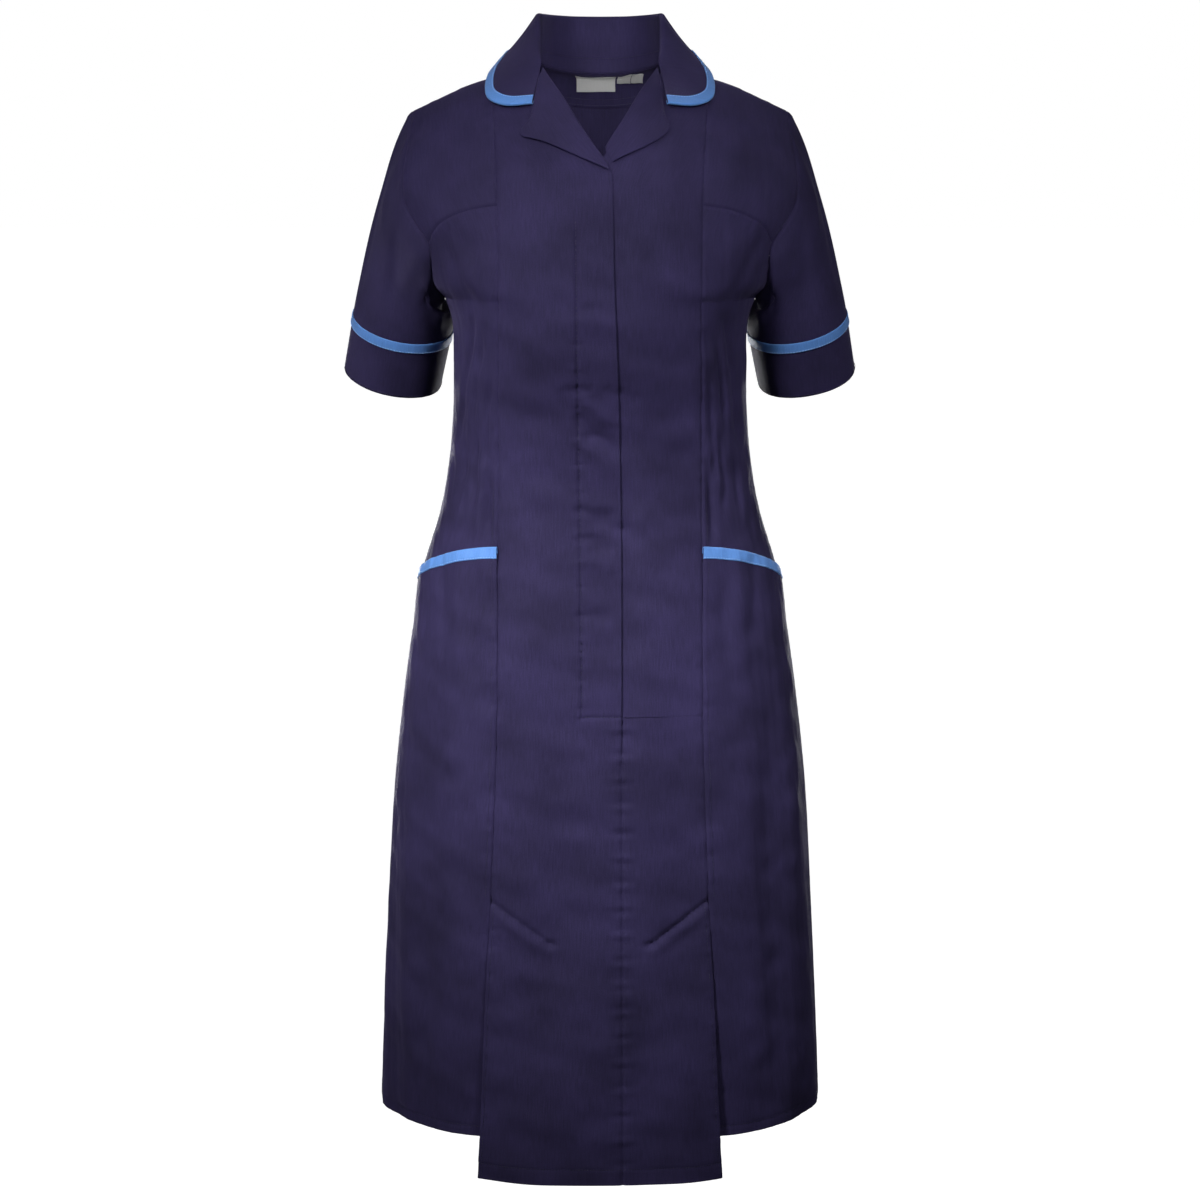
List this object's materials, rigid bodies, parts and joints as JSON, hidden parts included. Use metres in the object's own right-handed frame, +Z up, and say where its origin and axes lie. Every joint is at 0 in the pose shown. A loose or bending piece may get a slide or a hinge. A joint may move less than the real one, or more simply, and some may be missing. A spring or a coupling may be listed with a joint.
{
  "type": "nurse uniform dress",
  "caption": "Short-sleeved navy nurse uniform dress with an open notched collar, concealed front fly, princess seams, front kick pleats and pale blue binding.",
  "frame": {"origin": "midway between the neck ends of the two shoulder seams, where the wearer's shoulders hold the dress up", "axes": "+Z up along the wearer's spine, -Y the way the front faces, +X the wearer's left"},
  "size_m": [0.511, 0.3269, 1.1222],
  "materials": {
    "navy_cloth": "matt navy twill, polyester and cotton",
    "pale_blue_binding": "pale blue twill binding",
    "label_white": "woven label, off white, bare"
  },
  "bodies": {
    "root": {"back_centre": "navy_cloth", "back_neck_facing": "navy_cloth", "collar": "navy_cloth", "collar_trim": "pale_blue_binding", "cuff_left": "navy_cloth", "cuff_right": "navy_cloth", "cuff_trim_left": "pale_blue_binding", "cuff_trim_right": "pale_blue_binding", "front_left": "navy_cloth", "front_right": "navy_cloth", "kick_pleat_left": "navy_cloth", "kick_pleat_right": "navy_cloth", "lapel_left": "navy_cloth", "lapel_right": "navy_cloth", "neck_label": "label_white", "pleat_underlay_left": "navy_cloth", "pleat_underlay_right": "navy_cloth", "pocket_left": "navy_cloth", "pocket_right": "navy_cloth", "pocket_trim_left": "pale_blue_binding", "pocket_trim_right": "pale_blue_binding", "side_back_left": "navy_cloth", "side_back_right": "navy_cloth", "side_front_left": "navy_cloth", "side_front_right": "navy_cloth", "side_skirt_left": "navy_cloth", "side_skirt_right": "navy_cloth", "size_label_1": "label_white", "size_label_2": "label_white", "sleeve_left": "navy_cloth", "sleeve_right": "navy_cloth", "yoke_front_left": "navy_cloth", "yoke_front_right": "navy_cloth"}
  },
  "joints": []
}
